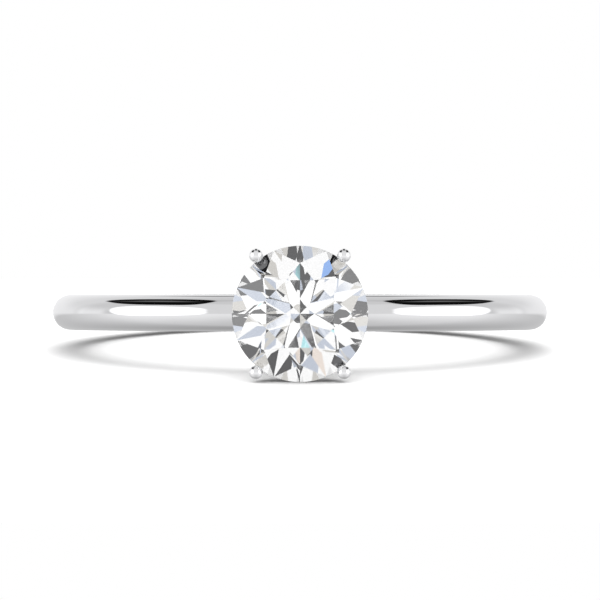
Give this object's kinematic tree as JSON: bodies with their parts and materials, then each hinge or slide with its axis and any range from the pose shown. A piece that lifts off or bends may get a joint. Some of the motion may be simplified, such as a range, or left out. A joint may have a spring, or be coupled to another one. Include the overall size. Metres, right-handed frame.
{
  "type": "engagement ring",
  "caption": "Slim half-round band in polished white metal with a four-prong peg head and a round brilliant stone, worn on the finger.",
  "frame": {"origin": "centre of the finger hole", "axes": "+Z along the finger hole's axis, up when the ring lies on its side; the stone stands out towards -Y; +X to the right, seen from the stone's side"},
  "size_m": [0.0196, 0.0235, 0.0052],
  "materials": {
    "white_gold": "mirror polished white gold with rhodium plating",
    "white_gold_solder": "polished white gold solder, slightly greyer than the metal",
    "diamond": "colourless, flat polished facets"
  },
  "bodies": {
    "root": {"shank": "white_gold", "setting_peg": "white_gold", "head_base": "white_gold", "head_solder": "white_gold_solder", "lower_gallery_rail": "white_gold", "upper_gallery_rail": "white_gold", "prong_upper_right": "white_gold", "prong_upper_left": "white_gold", "prong_lower_left": "white_gold", "prong_lower_right": "white_gold", "diamond": "diamond"}
  },
  "joints": []
}
